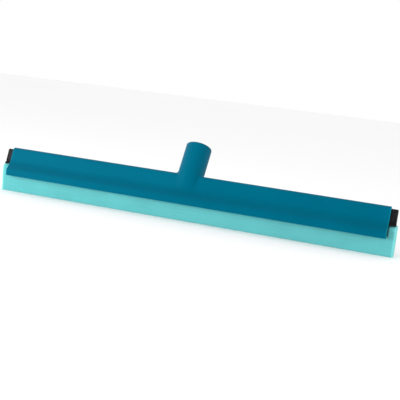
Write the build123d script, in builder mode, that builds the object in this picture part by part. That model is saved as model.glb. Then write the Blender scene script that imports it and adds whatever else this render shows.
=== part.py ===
"""Floor squeegee head with a replaceable foam blade cassette.

The head lies along X and its handle socket leans back towards +Y.
The origin is on the socket's axis, where the lead-in chamfer of its mouth ends
and the bore that the handle screws into begins.
Sections across the head are drawn in (across, up), measured from the middle
of the head and from the bottom edge of the frame's skirt.
"""

import os
from math import acos, atan2, cos, degrees, hypot, radians, sin

from build123d import *

# Overall sizes, in millimetres and degrees
cassette_length = 600.0
end_overhang = 11.5
frame_height = 41.3
socket_lean = 31.0
socket_reach = 64.9

# Frame section
frame_wall = 2.6
skirt_half_width = 17.8
skirt_height = 9.6
skirt_rounding = 2.8
flare_across = 12.8
flare_height = 14.6
neck_height = 20.5
neck_half_width = 7.8
neck_rounding = 5.0
crest_radius = 5.8
crest_set_back = 3.0
bead_radius = 1.4
end_rounding = 0.9
lip_rounding = 0.6

# Handle socket
socket_radius = 19.0
socket_axis_height = 22.0
root_reach = 20.0
root_blend = 9.0
root_half_length = 22.0
root_half_width = 7.0
root_height = 14.0
root_fillet = 4.0
rim_fillet = 1.0
bore_radius = 9.9
bore_depth = 42.0
bore_chamfer = 1.5
thread_pitch = 5.0
thread_depth = 1.5
thread_width = 3.0
thread_flank = 0.6
thread_start = 6.0
thread_turns = 6

# Cassette: rail, end plugs and foam blades
slide_gap = 0.3
rail_wall = 1.6
rail_floor = 3.0
plug_flange = 2.5
plug_spigot = 14.0
plug_gap = 0.1
plug_rounding = 1.2
plug_inset = 2.0
tongue_half_width = 1.2
tongue_depth = 11.5
barb_reach = 1.3
barb_height = 2.6
barb_count = 3
foam_gap = 0.1
foam_top = 16.3
foam_drop = 25.2
foam_crown_half_width = 4.8
foam_half_width = 8.8
foam_shoulder_height = 12.3
foam_taper_start = 2.0
foam_tip_half_width = 7.2
foam_shoulder_rounding = 1.6

# Places worked out from the sizes above
head_y = -socket_reach * sin(radians(socket_lean))
lip_z = -socket_axis_height - socket_reach * cos(radians(socket_lean))
frame_length = cassette_length - 2 * end_overhang
crest_centre = frame_height - crest_radius
bead_across = neck_half_width - frame_wall
rail_length = cassette_length - 2 * (plug_flange + plug_inset)
barb_spacing = (tongue_depth - barb_height) / barb_count
blade_inner = tongue_half_width + foam_gap

socket_plane = Plane(
    origin=(0, 0, 0),
    x_dir=(1, 0, 0),
    z_dir=(0, sin(radians(socket_lean)), cos(radians(socket_lean))),
)
mouth_plane = socket_plane.offset(bore_chamfer)
root_plane = Plane(origin=(0, head_y, lip_z + root_height))


def section_plane(x):
    """The plane across the head at x, with its own x along +Y and its y up."""
    return Plane(origin=(x, head_y, lip_z), x_dir=(0, 1, 0), z_dir=(1, 0, 0))


def side_angle(across):
    """The angle on the crest where a straight side from the neck touches it."""
    towards_neck = degrees(atan2(neck_height - crest_centre, across - crest_set_back))
    distance = hypot(neck_height - crest_centre, across - crest_set_back)
    turn = degrees(acos(crest_radius / distance))
    return towards_neck + turn if across > 0 else towards_neck - turn


# Skirt and flare at the foot of the frame, the same on both sides
with BuildSketch(Plane.XY) as foot:
    with BuildLine():
        skirt_bottom = Line((0, 0), (skirt_half_width, 0))
        skirt_side = Line(skirt_bottom @ 1, (skirt_half_width, skirt_height))
        flare = ThreePointArc(
            skirt_side @ 1,
            (flare_across, flare_height),
            (neck_half_width, neck_height),
        )
        Polyline(flare @ 1, (0, neck_height), (0, 0))
    make_face()
    fillet(foot.vertices().sort_by_distance(skirt_side @ 1)[0], skirt_rounding)
    mirror(about=Plane.YZ)

# Filled outline of the frame; what fits inside is offset from it.
# Straight sides run from the neck to a round crest that sits behind the middle.
with BuildSketch(Plane.XY) as bell:
    add(foot.sketch)
    with BuildLine():
        rear_angle = side_angle(neck_half_width)
        front_angle = side_angle(-neck_half_width) + 360
        crest = CenterArc(
            (crest_set_back, crest_centre), crest_radius, rear_angle, front_angle - rear_angle
        )
        Polyline(
            crest @ 1,
            (-neck_half_width, neck_height),
            (neck_half_width, neck_height),
            crest @ 0,
        )
    make_face()
    for across in (-neck_half_width, neck_half_width):
        fillet(bell.vertices().sort_by_distance((across, neck_height))[0], neck_rounding)

# Room inside the frame, narrowed at the neck by two beads that hold the cassette up
with BuildSketch(Plane.XY) as bell_room:
    add(bell.sketch)
    offset(amount=-frame_wall, mode=Mode.REPLACE)
    skirt_room = 2 * (skirt_half_width - frame_wall)
    Rectangle(skirt_room, skirt_height)
    with Locations((bead_across, neck_height), (-bead_across, neck_height)):
        Circle(bead_radius, mode=Mode.SUBTRACT)

# Rail outline: the frame's room less a sliding gap, above the foam
with BuildSketch(Plane.XY) as rail_outline:
    add(bell.sketch)
    offset(amount=-(frame_wall + slide_gap), mode=Mode.REPLACE)
    with Locations((0, (foam_top + foam_gap) / 2)):
        Rectangle(4 * skirt_half_width, foam_top + foam_gap, mode=Mode.SUBTRACT)
    with Locations((bead_across, neck_height), (-bead_across, neck_height)):
        Circle(bead_radius + slide_gap, mode=Mode.SUBTRACT)

# Hollow of the rail's head, closed above the neck
with BuildSketch(Plane.XY) as rail_hollow:
    add(rail_outline.sketch)
    offset(amount=-rail_wall, mode=Mode.REPLACE)
    with Locations((0, (neck_height + rail_floor) / 2)):
        Rectangle(4 * skirt_half_width, neck_height + rail_floor, mode=Mode.SUBTRACT)

# Barbed tongue under the rail that the two foam blades are pressed onto
with BuildSketch(Plane.XY) as tongue:
    with Locations((0, foam_top + foam_gap)):
        Rectangle(
            2 * tongue_half_width, tongue_depth + foam_gap, align=(Align.CENTER, Align.MAX)
        )
    for barb in range(barb_count):
        barb_top = foam_top - (barb + 1) * barb_spacing + barb_height / 2
        with BuildLine():
            Polyline(
                (0, barb_top),
                (tongue_half_width + barb_reach, barb_top),
                (tongue_half_width, barb_top - barb_height),
                (0, barb_top - barb_height),
                close=True,
            )
        make_face()
    mirror(about=Plane.YZ)

# Front blade's outline, before the tongue's groove is taken out
with BuildSketch(Plane.XY) as blade_outline:
    with BuildLine():
        Polyline(
            (-blade_inner, foam_top),
            (-foam_crown_half_width, foam_top),
            (-foam_half_width, foam_shoulder_height),
            (-foam_half_width, foam_taper_start),
            (-foam_tip_half_width, -foam_drop),
            (-blade_inner, -foam_drop),
            close=True,
        )
    make_face()
    shoulders = blade_outline.vertices().group_by(Axis.X)[0]
    fillet(shoulders, foam_shoulder_rounding)

with BuildSketch(Plane.XY) as tongue_groove:
    add(tongue.sketch)
    offset(amount=foam_gap, kind=Kind.INTERSECTION, mode=Mode.REPLACE)

# Thread groove: a helical cut that leaves the bore's own wall as the crest
with BuildPart() as thread_groove:
    with BuildLine():
        groove_path = Helix(thread_pitch, thread_turns * thread_pitch, bore_radius)
    with BuildSketch(Plane.XZ):
        with BuildLine():
            Polyline(
                (bore_radius - thread_depth, thread_width / 2 + thread_flank),
                (bore_radius + thread_depth, thread_width / 2 - thread_flank),
                (bore_radius + thread_depth, -thread_width / 2 + thread_flank),
                (bore_radius - thread_depth, -thread_width / 2 - thread_flank),
                close=True,
            )
        make_face()
    sweep(path=groove_path, is_frenet=True)

# Frame: channel and handle socket moulded as one piece
with BuildPart() as frame:
    with BuildSketch(section_plane(-frame_length / 2)):
        add(bell.sketch)
    extrude(amount=frame_length)
    for end in (0, -1):
        outline = frame.faces().sort_by(Axis.X)[end].edges()
        fillet(outline.sort_by(Axis.Z)[1:], end_rounding)
    with BuildSketch(mouth_plane):
        Circle(socket_radius)
    extrude(amount=-(bore_chamfer + socket_reach - root_reach - root_blend))
    for reach in (root_reach + root_blend, root_reach):
        with BuildSketch(socket_plane.offset(reach - socket_reach)):
            Circle(socket_radius)
    with BuildSketch(root_plane):
        Ellipse(root_half_length, root_half_width)
    loft()
    fillet(frame.edges(Select.NEW).filter_by(GeomType.BSPLINE), root_fillet)
    with BuildSketch(section_plane(-frame_length / 2)):
        add(bell_room.sketch)
    extrude(amount=frame_length, mode=Mode.SUBTRACT)
    skirt_edges = frame.edges().filter_by(Axis.X).group_by(Axis.Z)[0]
    fillet(skirt_edges, lip_rounding)
    rim = frame.edges().filter_by(GeomType.CIRCLE).sort_by(Axis.Z)[-1]
    fillet(rim, rim_fillet)
    with BuildSketch(mouth_plane):
        Circle(bore_radius)
    extrude(amount=-(bore_chamfer + bore_depth), mode=Mode.SUBTRACT)
    bore_edge = frame.edges().filter_by(GeomType.CIRCLE).sort_by_distance(mouth_plane.origin)[0]
    chamfer(bore_edge, bore_chamfer)
    with Locations(socket_plane.offset(-thread_start - thread_turns * thread_pitch)):
        add(thread_groove.part, mode=Mode.SUBTRACT)

# Cassette rail: hollow head in the frame, barbed tongue in the foam
with BuildPart() as cassette_rail:
    with BuildSketch(section_plane(-rail_length / 2)):
        add(rail_outline.sketch)
        add(rail_hollow.sketch, mode=Mode.SUBTRACT)
        add(tongue.sketch)
    extrude(amount=rail_length)

# Plug for the right-hand end of the rail, and its mirror image
with BuildPart() as rail_plug_right:
    with BuildSketch(section_plane(rail_length / 2)):
        add(rail_outline.sketch)
    extrude(amount=plug_flange)
    outer_edges = rail_plug_right.faces().sort_by(Axis.X)[-1].edges()
    crest_and_sides = outer_edges.sort_by(Axis.Z)[-3:]
    fillet(crest_and_sides, plug_rounding)
    with BuildSketch(section_plane(rail_length / 2)):
        add(rail_hollow.sketch)
        offset(amount=-plug_gap, mode=Mode.REPLACE)
    extrude(amount=-plug_spigot)

with BuildPart() as rail_plug_left:
    mirror(rail_plug_right.part, about=Plane.YZ)

# Foam blades: the rear one is the front one mirrored across the head
with BuildPart() as front_blade:
    with BuildSketch(section_plane(-cassette_length / 2)):
        add(blade_outline.sketch)
        add(tongue_groove.sketch, mode=Mode.SUBTRACT)
    extrude(amount=cassette_length)

with BuildPart() as rear_blade:
    mirror(front_blade.part, about=Plane.XZ.offset(-head_y))

os.makedirs("parts", exist_ok=True)

frame.part.label = "frame"
export_step(frame.part, "parts/frame.step")
cassette_rail.part.label = "cassette_rail"
export_step(cassette_rail.part, "parts/cassette_rail.step")
rail_plug_left.part.label = "rail_plug_left"
export_step(rail_plug_left.part, "parts/rail_plug_left.step")
rail_plug_right.part.label = "rail_plug_right"
export_step(rail_plug_right.part, "parts/rail_plug_right.step")
front_blade.part.label = "front_blade"
export_step(front_blade.part, "parts/front_blade.step")
rear_blade.part.label = "rear_blade"
export_step(rear_blade.part, "parts/rear_blade.step")
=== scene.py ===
"""Floor squeegee head: foam blades in a slide-out cassette under a moulded frame."""

import math

import bmesh
import bpy
from bpy.props import FloatProperty, FloatVectorProperty, IntProperty, PointerProperty
from mathutils import Matrix, Quaternion, Vector


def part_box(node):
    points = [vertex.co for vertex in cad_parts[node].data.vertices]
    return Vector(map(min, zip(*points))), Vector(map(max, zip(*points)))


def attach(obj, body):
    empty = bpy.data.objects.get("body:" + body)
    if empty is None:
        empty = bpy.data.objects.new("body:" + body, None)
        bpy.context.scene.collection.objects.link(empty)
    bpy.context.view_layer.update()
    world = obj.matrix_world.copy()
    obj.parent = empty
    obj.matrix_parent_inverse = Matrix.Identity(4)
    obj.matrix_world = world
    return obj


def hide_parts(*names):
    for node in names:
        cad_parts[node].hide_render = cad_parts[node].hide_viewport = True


bl_info = {
    "name": "Floor squeegee head",
    "version": (1, 0, 0),
    "blender": (4, 5, 0),
    "location": "3D View > Sidebar > Squeegee",
    "description": "Builds a moulded floor squeegee head with its rail, plugs and foam blades",
    "category": "Add Mesh",
}

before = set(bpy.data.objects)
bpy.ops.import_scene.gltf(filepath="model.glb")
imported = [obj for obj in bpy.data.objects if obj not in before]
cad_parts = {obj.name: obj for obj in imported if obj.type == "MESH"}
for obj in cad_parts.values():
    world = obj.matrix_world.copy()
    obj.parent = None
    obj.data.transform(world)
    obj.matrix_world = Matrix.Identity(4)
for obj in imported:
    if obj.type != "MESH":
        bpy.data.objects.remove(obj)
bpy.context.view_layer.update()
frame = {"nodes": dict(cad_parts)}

MM = 0.001
FRAME_BODY = "frame"
CASSETTE_BODY = "cassette"

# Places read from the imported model
frame_low, frame_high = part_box("frame")
blade_low, blade_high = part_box("front_blade")
rear_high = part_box("rear_blade")[1]
HEAD_Y = (blade_low.y + rear_high.y) / 2
SKIRT_Z = frame_low.z
TIP_Z = blade_low.z
FOAM_TOP_Z = blade_high.z
SOCKET_LEAN = math.radians(31.0)
SOCKET_AXIS = Vector((0.0, math.sin(SOCKET_LEAN), math.cos(SOCKET_LEAN)))
SOCKET_RIM = 1.5 * MM
BARB_COUNT = 3
BARB_REACH = 1.3 * MM
BARB_HEIGHT = 2.6 * MM
TONGUE_DEPTH = 11.5 * MM
BARB_SPACING = (TONGUE_DEPTH - BARB_HEIGHT) / BARB_COUNT
GROOVE_GAP = 0.1 * MM
GROOVE_RADIUS = 0.08 * MM

# Heights above the skirt's bottom edge over which the valley's shade fades in and out
VALLEY_FADE_IN = (6.0 * MM, 14.0 * MM)
VALLEY_FADE_OUT = (17.0 * MM, 25.0 * MM)

# Lights, placed from the head's middle at the skirt's bottom edge
KEY_PLACE = (-1.1, -1.15, 0.2)
KEY_SIZE = 0.7
SIDE_PLACE = (1.2, -0.25, 0.25)
SIDE_SIZE = 0.5
FLOOR_HALF_WIDTH = 6.0

# Colours of wear and dirt, and of painted highlights and a painted shadow
RUBBED_TEAL = (0.004, 0.24, 0.33, 1.0)
# Painted highlight along the frame's end edges
PAINTED_END_HIGHLIGHT = (0.004, 0.26, 0.33, 1.0)
DUST_GREY = (0.3, 0.3, 0.31, 1.0)
SOILED_FOAM = (0.2, 0.27, 0.26, 1.0)
# Painted highlight on the foam's cut ends
PAINTED_FOAM_END_HIGHLIGHT = (0.24, 0.75, 0.72, 1.0)
# Painted shadow on the foam beside the frame's ends
PAINTED_GAP_SHADOW = (0.004, 0.03, 0.035, 1.0)


# ---------------------------------------------------------------- settings


class FrameFinish(bpy.types.PropertyGroup):
    """Finish of the moulded frame"""

    colour: FloatVectorProperty(
        name="Frame colour",
        description="Pigment of the moulded frame and its socket",
        subtype="COLOR",
        default=(0.0, 0.1, 0.163),
        min=0.0,
        max=1.0,
    )
    roughness: FloatProperty(
        name="Roughness",
        description="How dull the moulded skin is",
        default=0.46,
        min=0.0,
        max=1.0,
    )
    wear: FloatProperty(
        name="Edge wear",
        description="How much the skirt and the ends are rubbed",
        default=0.5,
        min=0.0,
        max=1.0,
    )


class RailFinish(bpy.types.PropertyGroup):
    """Finish of the cassette's rail and plugs"""

    colour: FloatVectorProperty(
        name="Rail colour",
        description="Pigment of the extruded rail and its plugs",
        subtype="COLOR",
        default=(0.004, 0.0045, 0.006),
        min=0.0,
        max=1.0,
    )
    roughness: FloatProperty(
        name="Roughness",
        description="How dull the rail is",
        default=0.42,
        min=0.0,
        max=1.0,
    )


class BladeSettings(bpy.types.PropertyGroup):
    """Shape and finish of the two foam blades"""

    crown: FloatProperty(
        name="Crown width",
        description="Half the width of the flat on top of the two blades",
        default=4.8 * MM,
        unit="LENGTH",
    )
    shoulder: FloatProperty(
        name="Shoulder drop",
        description="How far the widest part lies below the top",
        default=4.0 * MM,
        unit="LENGTH",
    )
    taper_start: FloatProperty(
        name="Taper start",
        description="How far below the top the outer face starts to taper",
        default=14.3 * MM,
        unit="LENGTH",
    )
    tip_half_width: FloatProperty(
        name="Tip half width",
        description="Distance from the head's middle to a blade's outer face at its tip",
        default=7.2 * MM,
        unit="LENGTH",
    )
    slit: FloatProperty(
        name="Slit half width",
        description="Distance from the head's middle to a blade's inner face",
        default=1.3 * MM,
        unit="LENGTH",
    )
    shoulder_radius: FloatProperty(
        name="Shoulder radius",
        description="Rounding where the outer face turns under the frame",
        default=1.6 * MM,
        unit="LENGTH",
    )
    edge_radius: FloatProperty(
        name="Edge radius",
        description="Rounding of the foam's outer long edges",
        default=0.6 * MM,
        unit="LENGTH",
    )
    slit_radius: FloatProperty(
        name="Slit edge radius",
        description="Rounding of the long edges beside the slit",
        default=0.3 * MM,
        unit="LENGTH",
    )
    end_radius: FloatProperty(
        name="End radius",
        description="Rounding of the foam's cut ends",
        default=1.2 * MM,
        unit="LENGTH",
    )
    ripple: FloatProperty(
        name="Tip ripple",
        description="How far the soft tip wanders from a straight line",
        default=0.35 * MM,
        unit="LENGTH",
    )
    rings: IntProperty(
        name="Rings",
        description="Sections along each blade",
        default=241,
        min=21,
        max=1001,
    )
    colour: FloatVectorProperty(
        name="Foam colour",
        description="Colour of the foam rubber",
        subtype="COLOR",
        default=(0.10, 0.41, 0.42),
        min=0.0,
        max=1.0,
    )


class StageSettings(bpy.types.PropertyGroup):
    """Camera and light"""

    place: FloatVectorProperty(
        name="Camera place",
        description="Where the camera stands, from the head's middle at the frame's lip",
        default=(0.3782, -1.0910, 0.1840),
        subtype="TRANSLATION",
    )
    azimuth: FloatProperty(
        name="Azimuth",
        description="How far the view is turned from straight along the head's depth",
        default=math.radians(18.100),
        subtype="ANGLE",
    )
    elevation: FloatProperty(
        name="Elevation",
        description="How steeply the camera looks down",
        default=math.radians(8.714),
        subtype="ANGLE",
    )
    roll: FloatProperty(
        name="Roll",
        description="How far the camera is turned about its own axis",
        default=math.radians(6.603),
        subtype="ANGLE",
    )
    lens: FloatProperty(
        name="Lens",
        description="Focal length in millimetres on a 36 mm sensor",
        default=72.9,
    )
    key_power: FloatProperty(
        name="Key light",
        description="Power of the large front light in watts",
        default=22.0,
    )
    sky: FloatProperty(
        name="Sky",
        description="Strength of the even white surroundings",
        default=1.0,
    )
    side_power: FloatProperty(
        name="Side light",
        description="Power of the weak light beyond the right-hand end in watts",
        default=2.5,
    )


class SqueegeeSettings(bpy.types.PropertyGroup):
    """All the settings of the squeegee head"""

    frame: PointerProperty(type=FrameFinish)
    rail: PointerProperty(type=RailFinish)
    blade: PointerProperty(type=BladeSettings)
    stage: PointerProperty(type=StageSettings)


# ---------------------------------------------------------------- node helpers


class ShaderBench:
    """A material's node tree, with short ways to add and join its nodes."""

    def __init__(self, name):
        self.material = bpy.data.materials.new(name)
        self.material.use_nodes = True
        self.tree = self.material.node_tree
        self.shader = self.tree.nodes["Principled BSDF"]
        self.place = self.add("ShaderNodeTexCoord").outputs["Object"]

    def add(self, kind, **settings):
        node = self.tree.nodes.new(kind)
        for key, value in settings.items():
            setattr(node, key, value)
        return node

    def join(self, value, socket):
        """Links an output socket, or sets a plain value."""
        if isinstance(value, bpy.types.NodeSocket):
            self.tree.links.new(value, socket)
        else:
            socket.default_value = value

    def stretched(self, scale):
        """Object coordinates, scaled by a different amount along each axis."""
        mapping = self.add("ShaderNodeMapping")
        self.join(self.place, mapping.inputs["Vector"])
        mapping.inputs["Scale"].default_value = scale
        return mapping.outputs["Vector"]

    def noise(self, scale, detail=3.0, roughness=0.5, vector=None):
        node = self.add("ShaderNodeTexNoise")
        self.join(vector or self.place, node.inputs["Vector"])
        node.inputs["Scale"].default_value = scale
        node.inputs["Detail"].default_value = detail
        node.inputs["Roughness"].default_value = roughness
        return node.outputs["Fac"]

    def cells(self, scale, feature="F1"):
        node = self.add("ShaderNodeTexVoronoi", feature=feature)
        self.join(self.place, node.inputs["Vector"])
        node.inputs["Scale"].default_value = scale
        return node.outputs["Distance"]

    def spread(self, value, low, high, to_low=0.0, to_high=1.0):
        """Maps a value from one range to another, and holds it there."""
        node = self.add("ShaderNodeMapRange", clamp=True)
        self.join(value, node.inputs["Value"])
        node.inputs["From Min"].default_value = low
        node.inputs["From Max"].default_value = high
        node.inputs["To Min"].default_value = to_low
        node.inputs["To Max"].default_value = to_high
        return node.outputs["Result"]

    def calculate(self, operation, first, second=0.0):
        node = self.add("ShaderNodeMath", operation=operation)
        self.join(first, node.inputs[0])
        self.join(second, node.inputs[1])
        return node.outputs[0]

    def blend(self, share, first, second):
        """Mixes two colours by a share from 0 to 1."""
        node = self.add("ShaderNodeMix", data_type="RGBA")
        self.join(share, node.inputs["Factor"])
        self.join(first, node.inputs["A"])
        self.join(second, node.inputs["B"])
        return node.outputs["Result"]

    def axis(self, name):
        node = self.add("ShaderNodeSeparateXYZ")
        self.join(self.place, node.inputs[0])
        return node.outputs[name]

    def along(self, direction):
        """How far a point lies from the origin along a direction."""
        node = self.add("ShaderNodeVectorMath", operation="DOT_PRODUCT")
        self.join(self.place, node.inputs[0])
        node.inputs[1].default_value = direction
        return node.outputs["Value"]

    def raise_skin(self, height, distance, strength=1.0, under=None):
        """Adds a bump, on top of an earlier one where there is one."""
        node = self.add("ShaderNodeBump")
        self.join(height, node.inputs["Height"])
        node.inputs["Distance"].default_value = distance
        node.inputs["Strength"].default_value = strength
        if under:
            self.join(under, node.inputs["Normal"])
        return node.outputs["Normal"]


def tinted(colour, factor):
    """A colour scaled in brightness, with full alpha."""
    return (*(min(1.0, channel * factor) for channel in colour), 1.0)


# ---------------------------------------------------------------- materials


def moulded_plastic(finish):
    """Satin polypropylene with an orange-peel skin, fine scratches and rubbed edges, painted shade in the
    valley and round the socket's mouth, and a painted highlight along the ends.
    """
    bench = ShaderBench("moulded_polypropylene")
    colour = tuple(finish.colour)
    flow = bench.noise(11.0, detail=4.0)
    mottle = bench.noise(70.0, detail=3.0)
    pigment = bench.blend(
        bench.spread(flow, 0.35, 0.65), tinted(colour, 0.95), tinted(colour, 1.05)
    )
    pigment = bench.blend(
        bench.spread(mottle, 0.3, 0.7, 0.0, 0.35), pigment, tinted(colour, 1.1)
    )

    scuff = bench.spread(bench.noise(260.0, detail=5.0, roughness=0.7), 0.5, 0.68)
    skirt = bench.spread(bench.axis("Z"), SKIRT_Z, SKIRT_Z + 1.6 * MM, 1.0, 0.0)
    ends = bench.spread(
        bench.calculate("ABSOLUTE", bench.axis("X")), frame_high.x - 1.8 * MM, frame_high.x
    )
    rim_shade = bench.spread(bench.along(SOCKET_AXIS), SOCKET_RIM - 1.6 * MM, SOCKET_RIM)
    edges = bench.calculate("MAXIMUM", skirt, ends)
    worn = bench.calculate("MULTIPLY", edges, bench.calculate("ADD", scuff, 0.35))
    worn = bench.calculate("MULTIPLY", worn, finish.wear)
    pigment = bench.blend(
        bench.spread(worn, 0.0, 1.0, 0.0, 0.6), pigment, RUBBED_TEAL
    )
    # Painted highlight along the frame's end edges, on top of their wear
    pigment = bench.blend(
        bench.calculate("MULTIPLY", ends, 0.5), pigment, PAINTED_END_HIGHLIGHT
    )
    # Painted shade in the valley between skirt and neck, and a painted dark line of shade round the
    # socket's mouth
    height = bench.calculate("SUBTRACT", bench.axis("Z"), SKIRT_Z)
    above_skirt = bench.spread(height, *VALLEY_FADE_IN)
    below_neck = bench.spread(height, *VALLEY_FADE_OUT, 1.0, 0.0)
    valley = bench.calculate("MULTIPLY", above_skirt, below_neck)
    valley = bench.calculate("MULTIPLY", valley, 0.5)
    shade = bench.calculate("MAXIMUM", valley, rim_shade)
    pigment = bench.blend(
        bench.calculate("MULTIPLY", shade, 0.4), pigment, tinted(colour, 0.45)
    )
    bench.join(pigment, bench.shader.inputs["Base Color"])

    scratches = bench.noise(1.0, detail=3.0, vector=bench.stretched((60.0, 1900.0, 1900.0)))
    dull = bench.calculate(
        "ADD",
        bench.spread(mottle, 0.3, 0.7, finish.roughness - 0.04, finish.roughness + 0.05),
        bench.spread(scratches, 0.55, 0.75, 0.0, 0.08),
    )
    dull = bench.calculate("ADD", dull, bench.calculate("MULTIPLY", worn, 0.15))
    bench.join(dull, bench.shader.inputs["Roughness"])

    peel = bench.raise_skin(bench.noise(1300.0, detail=2.0), 0.02 * MM, 0.5)
    ripple = bench.raise_skin(bench.noise(55.0, detail=1.0), 0.25 * MM, 0.35, peel)
    skin = bench.raise_skin(scratches, 0.015 * MM, 0.4, ripple)
    bench.join(skin, bench.shader.inputs["Normal"])
    bench.shader.inputs["Specular IOR Level"].default_value = 0.07
    bench.shader.inputs["Specular Tint"].default_value = (0.0, 0.6, 0.7, 1.0)
    return bench.material


def extruded_plastic(finish):
    """Black plastic with the fine draw lines of an extrusion die along its length."""
    bench = ShaderBench("extruded_black_plastic")
    colour = tuple(finish.colour)
    lines = bench.noise(1.0, detail=4.0, vector=bench.stretched((9.0, 1500.0, 1500.0)))
    cloud = bench.noise(90.0, detail=3.0)
    pigment = bench.blend(
        bench.spread(cloud, 0.3, 0.7), tinted(colour, 0.8), tinted(colour, 1.5)
    )
    dust = bench.spread(bench.noise(420.0, detail=5.0, roughness=0.7), 0.6, 0.78)
    pigment = bench.blend(
        bench.calculate("MULTIPLY", dust, 0.03), pigment, DUST_GREY
    )
    bench.join(pigment, bench.shader.inputs["Base Color"])
    dull = bench.spread(lines, 0.3, 0.7, finish.roughness - 0.06, finish.roughness + 0.1)
    dull = bench.calculate("ADD", dull, bench.calculate("MULTIPLY", dust, 0.2))
    bench.join(dull, bench.shader.inputs["Roughness"])
    drawn = bench.raise_skin(lines, 0.03 * MM, 0.6)
    grain = bench.raise_skin(bench.noise(1600.0, detail=2.0), 0.015 * MM, 0.5, drawn)
    bench.join(grain, bench.shader.inputs["Normal"])
    bench.shader.inputs["Specular IOR Level"].default_value = 0.12
    return bench.material


def foam_rubber(settings):
    """Closed-cell foam rubber with a sliced skin, open pores and a slightly soiled tip, with painted
    shade in its pores, a painted highlight on its cut ends and a painted shadow beside the frame's ends.
    """
    bench = ShaderBench("foam_rubber")
    colour = tuple(settings.colour)
    cloud = bench.noise(24.0, detail=4.0)
    streaks = bench.noise(1.0, detail=4.0, vector=bench.stretched((14.0, 420.0, 420.0)))
    pigment = bench.blend(
        bench.spread(cloud, 0.32, 0.68), tinted(colour, 0.94), tinted(colour, 1.05)
    )
    pigment = bench.blend(
        bench.spread(streaks, 0.35, 0.7, 0.0, 0.5), pigment, tinted(colour, 1.1)
    )
    small_cells = bench.cells(1500.0)
    large_cells = bench.cells(620.0)
    pores = bench.spread(small_cells, 0.12, 0.34, 1.0, 0.0)
    chosen = bench.spread(bench.noise(480.0, detail=2.0), 0.5, 0.62)
    pores = bench.calculate("MULTIPLY", pores, chosen)
    pits = bench.spread(large_cells, 0.05, 0.16, 1.0, 0.0)
    # Darker pores and pits: painted shade in the foam's open cells
    pigment = bench.blend(
        bench.calculate("MULTIPLY", pores, 0.35), pigment, tinted(colour, 0.62)
    )
    pigment = bench.blend(
        bench.calculate("MULTIPLY", pits, 0.4), pigment, tinted(colour, 0.55)
    )
    tip = bench.spread(bench.axis("Z"), TIP_Z, TIP_Z + 3.0 * MM, 1.0, 0.0)
    soil = bench.spread(bench.noise(130.0, detail=5.0, roughness=0.65), 0.42, 0.72)
    soiled = bench.calculate("MULTIPLY", bench.calculate("MULTIPLY", tip, soil), 0.3)
    pigment = bench.blend(soiled, pigment, SOILED_FOAM)

    # Painted highlight on the foam's cut ends, and a painted shadow where the foam leaves the frame
    reach = bench.calculate("ABSOLUTE", bench.axis("X"))
    cut = bench.spread(reach, blade_high.x - 3.4 * MM, blade_high.x - 1.6 * MM)
    pigment = bench.blend(
        bench.calculate("MULTIPLY", cut, 0.5), pigment, PAINTED_FOAM_END_HIGHLIGHT
    )
    from_frame_end = bench.calculate("ABSOLUTE", bench.calculate("SUBTRACT", reach, frame_high.x))
    near_end = bench.spread(from_frame_end, 1.2 * MM, 2.6 * MM, 1.0, 0.0)
    above_lip = bench.spread(bench.axis("Z"), SKIRT_Z, SKIRT_Z + 3.0 * MM)
    # Painted shadow on the foam next to the frame's ends, just above the lip
    gap_shadow = bench.calculate("MULTIPLY", near_end, above_lip)
    pigment = bench.blend(
        bench.calculate("MULTIPLY", gap_shadow, 0.85), pigment, PAINTED_GAP_SHADOW
    )
    bench.join(pigment, bench.shader.inputs["Base Color"])
    bench.join(bench.spread(streaks, 0.3, 0.7, 0.78, 0.9), bench.shader.inputs["Roughness"])

    sliced = bench.raise_skin(streaks, 0.08 * MM, 0.5)
    cells = bench.raise_skin(small_cells, 0.06 * MM, 0.5, sliced)
    hollows = bench.raise_skin(bench.calculate("SUBTRACT", 1.0, pits), 0.12 * MM, 0.6, cells)
    bench.join(hollows, bench.shader.inputs["Normal"])
    bench.shader.inputs["Specular IOR Level"].default_value = 0.15
    return bench.material


# ---------------------------------------------------------------- mesh helpers


def dressed_copy(node_name, piece_name, material, body, smooth_angle=32.0):
    """Copies a CAD node as one welded, smooth-shaded mesh and puts it in the node's place."""
    source = frame["nodes"][node_name]
    mesh = source.data.copy()
    mesh.name = piece_name
    shape = bmesh.new()
    shape.from_mesh(mesh)
    bmesh.ops.remove_doubles(shape, verts=shape.verts, dist=0.002 * MM)
    shape.to_mesh(mesh)
    shape.free()
    mesh.materials.clear()
    mesh.materials.append(material)
    mesh.polygons.foreach_set("use_smooth", [True] * len(mesh.polygons))
    mesh.set_sharp_from_angle(angle=math.radians(smooth_angle))
    piece = bpy.data.objects.new(piece_name, mesh)
    bpy.context.scene.collection.objects.link(piece)
    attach(piece, body)
    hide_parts(node_name)
    return piece


# ---------------------------------------------------------------- blade shape


def blade_outline(settings, side):
    """Corners of one blade's section, as (across, up from the lip, corner radius)."""
    top = FOAM_TOP_Z - SKIRT_Z
    tip = TIP_Z - SKIRT_Z
    half_width = HEAD_Y - blade_low.y
    corners = [
        (settings.slit, top, settings.slit_radius),
        (settings.crown, top, settings.edge_radius),
        (half_width, top - settings.shoulder, settings.shoulder_radius),
        (half_width, top - settings.taper_start, settings.shoulder_radius),
        (settings.tip_half_width, tip, settings.edge_radius),
        (settings.slit, tip, settings.slit_radius),
    ]
    for barb in reversed(range(BARB_COUNT)):
        ledge = top - (barb + 1) * BARB_SPACING + BARB_HEIGHT / 2 + GROOVE_GAP
        corners.append((settings.slit, ledge - BARB_HEIGHT - GROOVE_GAP, GROOVE_RADIUS))
        corners.append((settings.slit + BARB_REACH + GROOVE_GAP, ledge, GROOVE_RADIUS))
        corners.append((settings.slit, ledge, GROOVE_RADIUS))
    return [(side * across, up, radius) for across, up, radius in corners]


BLADE_LENGTHS = (
    "Half Length",
    "End Radius",
    "Slit",
    "Width",
    "Middle",
    "Half Height",
    "Ripple",
    "Depth",
)


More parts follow.
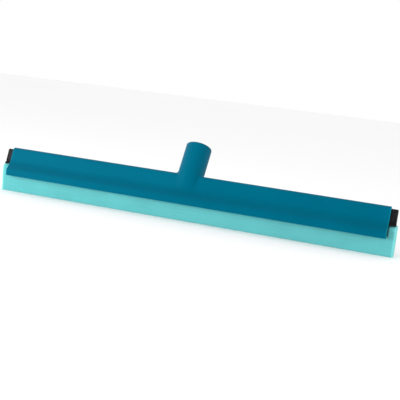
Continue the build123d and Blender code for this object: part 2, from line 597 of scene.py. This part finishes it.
def blade_tree(material):
    """Sweeps the section along the head, rounds its edges and ends, and ripples its tip."""
    tree = bpy.data.node_groups.new("foam_blade", "GeometryNodeTree")
    interface = tree.interface
    interface.new_socket("Section", in_out="INPUT", socket_type="NodeSocketGeometry")
    for name in BLADE_LENGTHS:
        socket = interface.new_socket(name, in_out="INPUT", socket_type="NodeSocketFloat")
        socket.subtype = "DISTANCE"
    interface.new_socket("Rings", in_out="INPUT", socket_type="NodeSocketInt")
    interface.new_socket("Seed", in_out="INPUT", socket_type="NodeSocketFloat")
    interface.new_socket("Blade", in_out="OUTPUT", socket_type="NodeSocketGeometry")
    given = tree.nodes.new("NodeGroupInput").outputs

    def add(kind, inputs=None, **options):
        node = tree.nodes.new(kind)
        for key, value in options.items():
            setattr(node, key, value)
        for key, value in (inputs or {}).items():
            if isinstance(value, bpy.types.NodeSocket):
                tree.links.new(value, node.inputs[key])
            else:
                node.inputs[key].default_value = value
        return node

    def math_node(operation, first, second=0.0):
        return add("ShaderNodeMath", {0: first, 1: second}, operation=operation).outputs[0]

    def vector(x=0.0, y=0.0, z=0.0):
        return add("ShaderNodeCombineXYZ", {"X": x, "Y": y, "Z": z}).outputs[0]

    def place():
        position = add("GeometryNodeInputPosition").outputs[0]
        return add("ShaderNodeSeparateXYZ", {0: position}).outputs

    # Section with each corner rounded by its own point radius
    corner_radius = add("GeometryNodeInputRadius").outputs[0]
    rounded = add(
        "GeometryNodeFilletCurve",
        {"Curve": given["Section"], "Radius": corner_radius, "Limit Radius": True, "Count": 4},
        mode="POLY",
    ).outputs[0]
    rounded = add("GeometryNodeSubdivideCurve", {"Curve": rounded, "Cuts": 1}).outputs[0]
    # The sweep lays a section half a turn round, so it is turned back first
    upright = add(
        "GeometryNodeTransform", {"Geometry": rounded, "Rotation": (0.0, 0.0, math.pi)}
    ).outputs[0]

    # Path with its rings crowded towards both ends
    back = math_node("MULTIPLY", given["Half Length"], -1.0)
    line = add(
        "GeometryNodeCurvePrimitiveLine", {"Start": vector(x=back), "End": vector(x=given["Half Length"])}
    ).outputs[0]
    line = add("GeometryNodeResampleCurve", {"Curve": line, "Count": given["Rings"]}).outputs[0]
    share = math_node("DIVIDE", place()["X"], given["Half Length"])
    eased = math_node("SINE", math_node("MULTIPLY", share, math.pi / 2))
    crowded = vector(x=math_node("MULTIPLY", eased, given["Half Length"]))
    line = add("GeometryNodeSetPosition", {"Geometry": line, "Position": crowded}).outputs[0]
    swept = add(
        "GeometryNodeCurveToMesh", {"Curve": line, "Profile Curve": upright, "Fill Caps": True}
    ).outputs[0]

    # Ends rounded by shrinking the last rings towards the middle of the slit's face
    reach = math_node("ABSOLUTE", place()["X"])
    from_end = math_node("SUBTRACT", given["Half Length"], reach)
    short = math_node("MAXIMUM", math_node("SUBTRACT", given["End Radius"], from_end), 0.0)
    squares = math_node(
        "SUBTRACT", math_node("POWER", given["End Radius"], 2.0), math_node("POWER", short, 2.0)
    )
    drop = math_node("SQRT", math_node("MAXIMUM", squares, 0.0))
    inset = math_node("SUBTRACT", given["End Radius"], drop)
    across = math_node("SUBTRACT", place()["Y"], given["Slit"])
    narrower = math_node("MULTIPLY", across, math_node("DIVIDE", inset, given["Width"]))
    above = math_node("SUBTRACT", place()["Z"], given["Middle"])
    lower = math_node("MULTIPLY", above, math_node("DIVIDE", inset, given["Half Height"]))
    pulled = vector(
        y=math_node("MULTIPLY", narrower, -1.0), z=math_node("MULTIPLY", lower, -1.0)
    )
    ended = add("GeometryNodeSetPosition", {"Geometry": swept, "Offset": pulled}).outputs[0]

    # Soft tip that wanders a little from a straight line
    slow = add(
        "ShaderNodeTexNoise",
        {"Vector": vector(x=place()["X"], y=given["Seed"]), "Scale": 9.0, "Detail": 2.0},
    ).outputs["Fac"]
    fine = add(
        "ShaderNodeTexNoise",
        {"Vector": vector(x=place()["X"], y=given["Seed"]), "Scale": 70.0, "Detail": 2.0},
    ).outputs["Fac"]
    depth = math_node("DIVIDE", math_node("MULTIPLY", place()["Z"], -1.0), given["Depth"])
    soft = math_node("POWER", math_node("MAXIMUM", depth, 0.0), 2.0)
    sway = math_node("MULTIPLY", math_node("SUBTRACT", slow, 0.5), 2.0)
    lift = math_node("MULTIPLY", fine, 0.4)
    scaled = math_node("MULTIPLY", soft, given["Ripple"])
    wander = vector(y=math_node("MULTIPLY", sway, scaled), z=math_node("MULTIPLY", lift, scaled))
    soft_tip = add("GeometryNodeSetPosition", {"Geometry": ended, "Offset": wander}).outputs[0]

    solid = add("GeometryNodeRealizeInstances", {"Geometry": soft_tip}).outputs[0]
    painted = add("GeometryNodeSetMaterial", {"Geometry": solid, "Material": material}).outputs[0]
    out = tree.nodes.new("NodeGroupOutput")
    tree.links.new(painted, out.inputs["Blade"])
    return tree


def build_blade(node_name, piece_name, side, material, settings, seed):
    """One foam blade, swept by its node tree and turned into a plain mesh in place."""
    section = bpy.data.curves.new(piece_name + "_section", "CURVE")
    section.dimensions = "3D"
    outline = blade_outline(settings, side)
    spline = section.splines.new("POLY")
    spline.points.add(len(outline) - 1)
    for point, (across, up, radius) in zip(spline.points, outline):
        point.co = (across, up, 0.0, 1.0)
        point.radius = radius
    spline.use_cyclic_u = True
    maker = bpy.data.objects.new(piece_name + "_section", section)
    bpy.context.scene.collection.objects.link(maker)
    modifier = maker.modifiers.new("blade", "NODES")
    tree = blade_tree(material)
    modifier.node_group = tree
    values = {
        "Half Length": (blade_high.x - blade_low.x) / 2,
        "End Radius": settings.end_radius,
        "Slit": side * settings.slit,
        "Width": HEAD_Y - blade_low.y - settings.slit,
        "Middle": (FOAM_TOP_Z + TIP_Z) / 2 - SKIRT_Z,
        "Half Height": (FOAM_TOP_Z - TIP_Z) / 2,
        "Ripple": settings.ripple,
        "Depth": SKIRT_Z - TIP_Z,
        "Rings": settings.rings,
        "Seed": float(seed),
    }
    for item in tree.interface.items_tree:
        if item.in_out == "INPUT" and item.name in values:
            modifier[item.identifier] = values[item.name]
    depsgraph = bpy.context.evaluated_depsgraph_get()
    mesh = bpy.data.meshes.new_from_object(maker.evaluated_get(depsgraph), depsgraph=depsgraph)
    bpy.data.objects.remove(maker)
    mesh.name = piece_name
    mesh.transform(Matrix.Translation(Vector((0.0, HEAD_Y, SKIRT_Z))))
    shape = bmesh.new()
    shape.from_mesh(mesh)
    bmesh.ops.remove_doubles(shape, verts=shape.verts, dist=0.001 * MM)
    bmesh.ops.recalc_face_normals(shape, faces=shape.faces)
    shape.to_mesh(mesh)
    shape.free()
    mesh.polygons.foreach_set("use_smooth", [True] * len(mesh.polygons))
    mesh.set_sharp_from_angle(angle=math.radians(40.0))
    piece = bpy.data.objects.new(piece_name, mesh)
    bpy.context.scene.collection.objects.link(piece)
    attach(piece, CASSETTE_BODY)
    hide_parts(node_name)
    return piece


# ---------------------------------------------------------------- stage


def build_stage(settings):
    """Pale floor, even surroundings, soft lights and the camera."""
    middle = Vector((0.0, HEAD_Y, SKIRT_Z))
    floor_mesh = bpy.data.meshes.new("floor")
    half = FLOOR_HALF_WIDTH
    corners = [(-half, -half), (half, -half), (half, half), (-half, half)]
    floor_mesh.from_pydata([(x, y, TIP_Z) for x, y in corners], [], [(0, 1, 2, 3)])
    floor = bpy.data.objects.new("floor", floor_mesh)
    bpy.context.scene.collection.objects.link(floor)
    bench = ShaderBench("pale_floor")
    bench.shader.inputs["Base Color"].default_value = (0.94, 0.94, 0.94, 1.0)
    bench.shader.inputs["Roughness"].default_value = 0.9
    bench.shader.inputs["Specular IOR Level"].default_value = 0.1
    floor_mesh.materials.append(bench.material)

    world = bpy.data.worlds.new("surroundings")
    world.use_nodes = True
    background = world.node_tree.nodes["Background"]
    background.inputs["Color"].default_value = (1.0, 1.0, 1.0, 1.0)
    background.inputs["Strength"].default_value = settings.sky
    bpy.context.scene.world = world
    bpy.context.scene.view_settings.view_transform = "Standard"

    key_place = middle + Vector(KEY_PLACE)
    add_light("key_light", key_place, middle, KEY_SIZE, settings.key_power)
    side_place = middle + Vector(SIDE_PLACE)
    add_light("side_light", side_place, middle, SIDE_SIZE, settings.side_power)

    camera_data = bpy.data.cameras.new("camera")
    camera_data.lens = settings.lens
    camera_data.sensor_width = 36.0
    camera = bpy.data.objects.new("camera", camera_data)
    bpy.context.scene.collection.objects.link(camera)
    level = math.cos(settings.elevation)
    look = Vector(
        (
            -math.sin(settings.azimuth) * level,
            math.cos(settings.azimuth) * level,
            -math.sin(settings.elevation),
        )
    )
    turn = Quaternion((0.0, 0.0, 1.0), settings.roll)
    camera.location = middle + Vector(settings.place)
    camera.rotation_mode = "QUATERNION"
    camera.rotation_quaternion = look.to_track_quat("-Z", "Y") @ turn
    bpy.context.scene.camera = camera


def add_light(name, place, target, size, power):
    """A square area light that faces a point."""
    data = bpy.data.lights.new(name, "AREA")
    data.size = size
    data.energy = power
    light = bpy.data.objects.new(name, data)
    bpy.context.scene.collection.objects.link(light)
    light.location = place
    light.rotation_euler = (target - place).to_track_quat("-Z", "Y").to_euler()


# ---------------------------------------------------------------- operators


class SQUEEGEE_OT_stage(bpy.types.Operator):
    """Make the floor, the light and the camera"""

    bl_idname = "squeegee.stage"
    bl_label = "Stage"

    def execute(self, context):
        build_stage(context.scene.squeegee.stage)
        return {"FINISHED"}


class SQUEEGEE_OT_frame(bpy.types.Operator):
    """Dress the moulded frame and its handle socket"""

    bl_idname = "squeegee.frame"
    bl_label = "Frame"

    def execute(self, context):
        material = moulded_plastic(context.scene.squeegee.frame)
        dressed_copy("frame", "moulded_frame", material, FRAME_BODY)
        return {"FINISHED"}


class SQUEEGEE_OT_rail(bpy.types.Operator):
    """Dress the cassette's rail and its two end plugs"""

    bl_idname = "squeegee.rail"
    bl_label = "Rail and plugs"

    def execute(self, context):
        material = extruded_plastic(context.scene.squeegee.rail)
        dressed_copy("cassette_rail", "extruded_rail", material, CASSETTE_BODY)
        for side in ("left", "right"):
            dressed_copy(
                "rail_plug_" + side, "end_plug_" + side, material, CASSETTE_BODY
            )
        return {"FINISHED"}


class SQUEEGEE_OT_blades(bpy.types.Operator):
    """Sweep the two foam blades"""

    bl_idname = "squeegee.blades"
    bl_label = "Foam blades"

    def execute(self, context):
        settings = context.scene.squeegee.blade
        material = foam_rubber(settings)
        build_blade("front_blade", "front_foam_blade", -1, material, settings, 3)
        build_blade("rear_blade", "rear_foam_blade", 1, material, settings, 8)
        return {"FINISHED"}


class SQUEEGEE_PT_panel(bpy.types.Panel):
    """Lists the steps that build the squeegee head"""

    bl_idname = "SQUEEGEE_PT_panel"
    bl_label = "Floor squeegee head"
    bl_space_type = "VIEW_3D"
    bl_region_type = "UI"
    bl_category = "Squeegee"

    def draw(self, context):
        settings = context.scene.squeegee
        for operator, group in STEPS:
            box = self.layout.box()
            box.operator(operator.bl_idname)
            for key in getattr(settings, group).__annotations__:
                box.prop(getattr(settings, group), key)


STEPS = (
    (SQUEEGEE_OT_stage, "stage"),
    (SQUEEGEE_OT_frame, "frame"),
    (SQUEEGEE_OT_rail, "rail"),
    (SQUEEGEE_OT_blades, "blade"),
)

CLASSES = (
    FrameFinish,
    RailFinish,
    BladeSettings,
    StageSettings,
    SqueegeeSettings,
    SQUEEGEE_OT_stage,
    SQUEEGEE_OT_frame,
    SQUEEGEE_OT_rail,
    SQUEEGEE_OT_blades,
    SQUEEGEE_PT_panel,
)


def register():
    for kind in CLASSES:
        bpy.utils.register_class(kind)
    bpy.types.Scene.squeegee = PointerProperty(type=SqueegeeSettings)


def unregister():
    del bpy.types.Scene.squeegee
    for kind in reversed(CLASSES):
        bpy.utils.unregister_class(kind)


def main():
    register()
    bpy.ops.squeegee.stage()
    bpy.ops.squeegee.frame()
    bpy.ops.squeegee.rail()
    bpy.ops.squeegee.blades()


if __name__ == "__main__":
    main()
